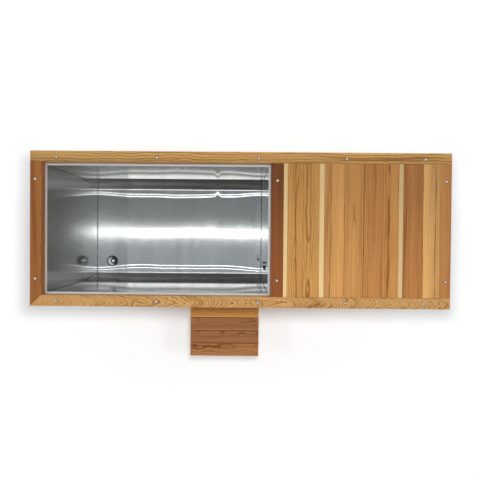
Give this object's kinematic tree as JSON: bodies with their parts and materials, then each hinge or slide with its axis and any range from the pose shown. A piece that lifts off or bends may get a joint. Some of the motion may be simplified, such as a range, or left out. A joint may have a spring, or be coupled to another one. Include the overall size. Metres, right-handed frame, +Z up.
{
  "type": "cold plunge tub",
  "caption": "Long timber-clad cold plunge tub: open stainless basin with drain and return, lift-out slatted deck over the chiller bay, and a step at the front.",
  "frame": {"origin": "on the ground, in the middle of the outline of cabinet and step together", "axes": "+X along the cabinet from the basin towards the equipment bay, +Y away from the step, +Z up"},
  "size_m": [2.4, 1.3244, 0.8232],
  "materials": {
    "redwood": "oiled satin",
    "dark_redwood": "oiled satin",
    "framing": "planed",
    "plywood": "sanded",
    "stainless": "brushed",
    "chrome": "polished",
    "brass": "machined",
    "foam": "closed-cell foam",
    "black_plastic": "moulded",
    "white_pipe": "moulded",
    "grey_paint": "powder coat",
    "blue_plastic": "moulded",
    "filter_paper": "pleated",
    "red_plastic": "moulded"
  },
  "bodies": {
    "cabinet": {"rear_rail": "redwood", "front_rail": "redwood", "right_rail": "redwood", "front_cladding": "redwood", "rear_cladding": "redwood", "left_cladding": "redwood", "right_cladding": "redwood", "step_tread_1": "redwood", "step_side_left": "redwood", "step_side_right": "redwood", "step_riser": "redwood", "left_rail": "dark_redwood", "cross_rail": "dark_redwood", "step_tread_2": "dark_redwood", "step_tread_3": "dark_redwood", "step_tread_4": "dark_redwood", "skid_front": "framing", "skid_rear": "framing", "front_top_plate": "framing", "rear_top_plate": "framing", "left_top_plate": "framing", "right_top_plate": "framing", "post_front_left": "framing", "post_front_right": "framing", "post_rear_left": "framing", "post_rear_right": "framing", "base_deck": "plywood", "bulkhead": "plywood", "basin_shell": "stainless", "insulation_jacket": "foam", "drain_body": "chrome", "drain_locknut": "brass", "drain_valve_body": "brass", "return_fitting": "black_plastic", "temperature_probe": "black_plastic", "pump_volute": "black_plastic", "suction_pipe": "white_pipe", "pressure_pipe": "white_pipe", "return_pipe": "white_pipe", "pump_motor": "grey_paint", "chiller_casing": "grey_paint", "fan_motor": "grey_paint", "filter_canister": "blue_plastic", "filter_cartridge": "filter_paper"},
    "hatch": {"hatch_board_1": "redwood", "hatch_board_2": "redwood", "hatch_board_3": "redwood", "hatch_board_4": "redwood", "hatch_board_5": "redwood", "hatch_board_6": "redwood", "hatch_board_7": "redwood", "hatch_board_8": "redwood", "hatch_batten_front": "framing", "hatch_batten_rear": "framing"},
    "stopper": {"drain_stopper": "chrome"},
    "eyeball": {"return_eyeball": "black_plastic"},
    "valve_lever": {"drain_valve_lever": "red_plastic"},
    "fan": {"chiller_fan": "black_plastic"},
    "filter_lid": {"filter_lid": "black_plastic"},
    "button": {"power_button": "red_plastic"}
  },
  "joints": [
    {"name": "hatch_lift", "type": "slide", "parent": "cabinet", "child": "hatch", "axis": [0, 0, 1], "range_m": [0, 0.4]},
    {"name": "stopper_lift", "type": "slide", "parent": "cabinet", "child": "stopper", "axis": [0, 0, 1], "range_m": [0, 0.08]},
    {"name": "eyeball_swivel", "type": "hinge", "parent": "cabinet", "child": "eyeball", "pos_m": [0.1605, -0.02285, 0.5199], "axis": [0, 0, 1], "range_deg": [-20, 20]},
    {"name": "valve_turn", "type": "hinge", "parent": "cabinet", "child": "valve_lever", "pos_m": [0.3043, -0.10885, 0.21], "axis": [0, 0, 1], "range_deg": [0, 90]},
    {"name": "fan_spin", "type": "hinge", "parent": "cabinet", "child": "fan", "pos_m": [1.0937, 0.21815, 0.3473], "axis": [1, 0, 0], "continuous": true},
    {"name": "lid_turn", "type": "hinge", "parent": "cabinet", "child": "filter_lid", "pos_m": [0.5697, 0.36815, 0.5176], "axis": [0, 0, 1], "range_deg": [0, 60]},
    {"name": "button_press", "type": "slide", "parent": "cabinet", "child": "button", "axis": [0, 0, -1], "range_m": [0, 0.002], "stiffness_N_per_m": 400}
  ]
}
